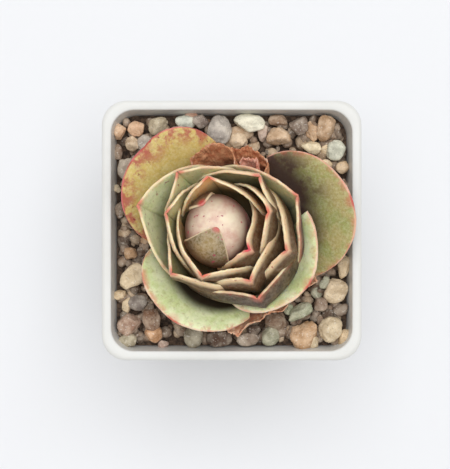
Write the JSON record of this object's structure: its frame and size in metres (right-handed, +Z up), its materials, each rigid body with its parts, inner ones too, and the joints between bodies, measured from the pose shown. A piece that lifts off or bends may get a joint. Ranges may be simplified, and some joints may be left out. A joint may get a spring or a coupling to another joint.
{
  "type": "potted succulent",
  "caption": "Cup-shaped rosette succulent with red-edged fleshy leaves, growing in a small square white plastic pot topped with mixed gravel.",
  "frame": {"origin": "middle of the pot's foot, on the surface that the pot stands on", "axes": "+Z up the plant, +X to the right and +Y to the back of the pot as seen from above; the pot's sides are square to X and Y"},
  "size_m": [0.07, 0.07, 0.0885],
  "materials": {
    "pot_plastic": "moulded white plastic, satin",
    "grit": "dark settled grit",
    "buff_stone": "dry buff and peach gravel, matt",
    "grey_stone": "dry grey gravel, matt and pitted",
    "green_stone": "dry pale green gravel, matt",
    "brown_stone": "dry brown gravel, matt",
    "green_leaf": "fleshy green leaf with a waxy bloom and a red margin",
    "cup_leaf": "fleshy beige-green leaf with a pale edge and pink tip",
    "bud": "fleshy pinkish-beige leaf with red flecks",
    "dry_leaf": "dry papery brown leaf, crinkled",
    "stem": "corky brown stem and roots"
  },
  "bodies": {
    "root": {"pot": "pot_plastic", "grit_bed": "grit", "stem_and_roots": "stem", "stone_olive": "buff_stone", "stone_peach": "buff_stone", "stone_back_left_grey": "grey_stone", "stone_mint": "green_stone", "stone_back_grey": "grey_stone", "stone_cream": "buff_stone", "stone_pinkish": "buff_stone", "stone_tan": "buff_stone", "stone_back_brown": "brown_stone", "stone_taupe": "brown_stone", "stone_tan_slab": "brown_stone", "stone_mint_grey": "green_stone", "stone_light_buff": "buff_stone", "stone_back_right_cream": "buff_stone", "stone_left_grey": "grey_stone", "stone_left_buff": "buff_stone", "stone_dark_grey": "grey_stone", "stone_pinkish_brown": "brown_stone", "stone_orange_tan": "buff_stone", "stone_grey_beige": "green_stone", "stone_front_brown": "brown_stone", "stone_beige_grey": "grey_stone", "stone_green_round": "green_stone", "stone_pale_green": "green_stone", "stone_large_tan": "buff_stone", "stone_front_right_buff": "buff_stone", "stone_right_buff": "buff_stone", "dry_leaf_front_right": "dry_leaf", "dry_leaf_front": "dry_leaf", "open_leaf_right": "green_leaf", "open_leaf_back_left": "green_leaf", "open_leaf_front_left": "green_leaf", "open_leaf_front_right": "green_leaf", "dry_leaf_back_right": "dry_leaf", "dry_leaf_back": "dry_leaf", "dry_flap_back": "dry_leaf", "ring_leaf_left": "cup_leaf", "ring_leaf_right": "cup_leaf", "ring_leaf_front": "cup_leaf", "ring_leaf_back_left": "cup_leaf", "cup_leaf_front_left": "cup_leaf", "cup_leaf_right": "cup_leaf", "cup_leaf_back_right": "cup_leaf", "cup_leaf_front": "cup_leaf", "cup_leaf_left": "cup_leaf", "heart_leaf_right": "cup_leaf", "heart_leaf_front_left": "cup_leaf", "heart_leaf_back": "cup_leaf", "heart_leaf_front_right": "cup_leaf", "bud": "bud", "bud_leaf_front": "bud", "bud_leaf_back_left": "bud"}
  },
  "joints": []
}
